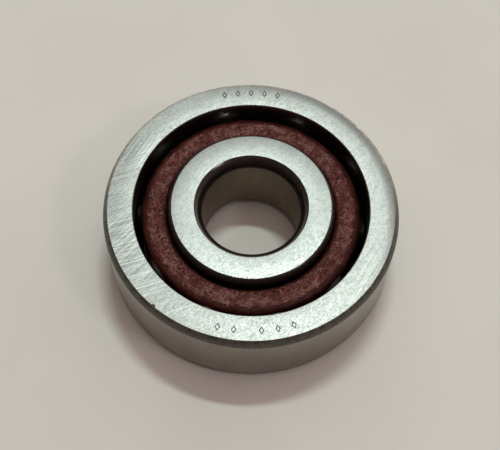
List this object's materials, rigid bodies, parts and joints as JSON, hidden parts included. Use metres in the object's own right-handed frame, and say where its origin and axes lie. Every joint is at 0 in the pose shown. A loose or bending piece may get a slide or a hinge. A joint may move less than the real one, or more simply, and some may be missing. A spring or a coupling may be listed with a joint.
{
  "type": "angular contact ball bearing",
  "caption": "Single-row angular contact ball bearing: steel inner and outer rings turn on a ball set held in a fabric-laminate resin cage.",
  "frame": {"origin": "centre of the back face, on the bearing's axis", "axes": "+Z along the axis from the back face (outer ring's high shoulder) to the front face; +X and +Y are any two directions across it"},
  "size_m": [0.03, 0.03, 0.009],
  "materials": {
    "outer_ring_steel": "ground faces with a dull turned corner, satin ground outside",
    "inner_ring_steel": "ground faces and bore, dull turned corners",
    "cage_laminate": "machined fabric-laminate phenolic resin, mottled red-brown",
    "ball_steel": "polished bearing balls with a thin oil film"
  },
  "bodies": {
    "outer_ring": {"outer_ring": "outer_ring_steel"},
    "inner_ring": {"inner_ring": "inner_ring_steel"},
    "cage": {"cage": "cage_laminate"},
    "ball_01": {"ball_01": "ball_steel"},
    "ball_02": {"ball_02": "ball_steel"},
    "ball_03": {"ball_03": "ball_steel"},
    "ball_04": {"ball_04": "ball_steel"},
    "ball_05": {"ball_05": "ball_steel"},
    "ball_06": {"ball_06": "ball_steel"},
    "ball_07": {"ball_07": "ball_steel"},
    "ball_08": {"ball_08": "ball_steel"},
    "ball_09": {"ball_09": "ball_steel"},
    "ball_10": {"ball_10": "ball_steel"}
  },
  "joints": [
    {"name": "inner_ring_spin", "type": "hinge", "parent": "outer_ring", "child": "inner_ring", "pos_m": [0, 0, 0.0045], "axis": [0, 0, 1], "continuous": true},
    {"name": "cage_spin", "type": "hinge", "parent": "outer_ring", "child": "cage", "pos_m": [0, 0, 0.0045], "axis": [0, 0, 1], "continuous": true},
    {"name": "ball_01_spin", "type": "hinge", "parent": "cage", "child": "ball_01", "pos_m": [0.00999, -0.00052, 0.0045], "axis": [0.6419, -0.0336, 0.766], "continuous": true},
    {"name": "ball_02_spin", "type": "hinge", "parent": "cage", "child": "ball_02", "pos_m": [0.00839, 0.00545, 0.0045], "axis": [0.5391, 0.3501, 0.766], "continuous": true},
    {"name": "ball_03_spin", "type": "hinge", "parent": "cage", "child": "ball_03", "pos_m": [0.00358, 0.00934, 0.0045], "axis": [0.2304, 0.6001, 0.766], "continuous": true},
    {"name": "ball_04_spin", "type": "hinge", "parent": "cage", "child": "ball_04", "pos_m": [-0.00259, 0.00966, 0.0045], "axis": [-0.1664, 0.6209, 0.766], "continuous": true},
    {"name": "ball_05_spin", "type": "hinge", "parent": "cage", "child": "ball_05", "pos_m": [-0.00777, 0.00629, 0.0045], "axis": [-0.4995, 0.4045, 0.766], "continuous": true},
    {"name": "ball_06_spin", "type": "hinge", "parent": "cage", "child": "ball_06", "pos_m": [-0.00999, 0.00052, 0.0045], "axis": [-0.6419, 0.0336, 0.766], "continuous": true},
    {"name": "ball_07_spin", "type": "hinge", "parent": "cage", "child": "ball_07", "pos_m": [-0.00839, -0.00545, 0.0045], "axis": [-0.5391, -0.3501, 0.766], "continuous": true},
    {"name": "ball_08_spin", "type": "hinge", "parent": "cage", "child": "ball_08", "pos_m": [-0.00358, -0.00934, 0.0045], "axis": [-0.2304, -0.6001, 0.766], "continuous": true},
    {"name": "ball_09_spin", "type": "hinge", "parent": "cage", "child": "ball_09", "pos_m": [0.00259, -0.00966, 0.0045], "axis": [0.1664, -0.6209, 0.766], "continuous": true},
    {"name": "ball_10_spin", "type": "hinge", "parent": "cage", "child": "ball_10", "pos_m": [0.00777, -0.00629, 0.0045], "axis": [0.4995, -0.4045, 0.766], "continuous": true}
  ],
  "couplings": [
    {"joint": "cage_spin", "follows": "inner_ring_spin", "ratio": 0.4088},
    {"joint": "ball_01_spin", "follows": "inner_ring_spin", "ratio": -2.0301},
    {"joint": "ball_02_spin", "follows": "inner_ring_spin", "ratio": -2.0301},
    {"joint": "ball_03_spin", "follows": "inner_ring_spin", "ratio": -2.0301},
    {"joint": "ball_04_spin", "follows": "inner_ring_spin", "ratio": -2.0301},
    {"joint": "ball_05_spin", "follows": "inner_ring_spin", "ratio": -2.0301},
    {"joint": "ball_06_spin", "follows": "inner_ring_spin", "ratio": -2.0301},
    {"joint": "ball_07_spin", "follows": "inner_ring_spin", "ratio": -2.0301},
    {"joint": "ball_08_spin", "follows": "inner_ring_spin", "ratio": -2.0301},
    {"joint": "ball_09_spin", "follows": "inner_ring_spin", "ratio": -2.0301},
    {"joint": "ball_10_spin", "follows": "inner_ring_spin", "ratio": -2.0301}
  ]
}
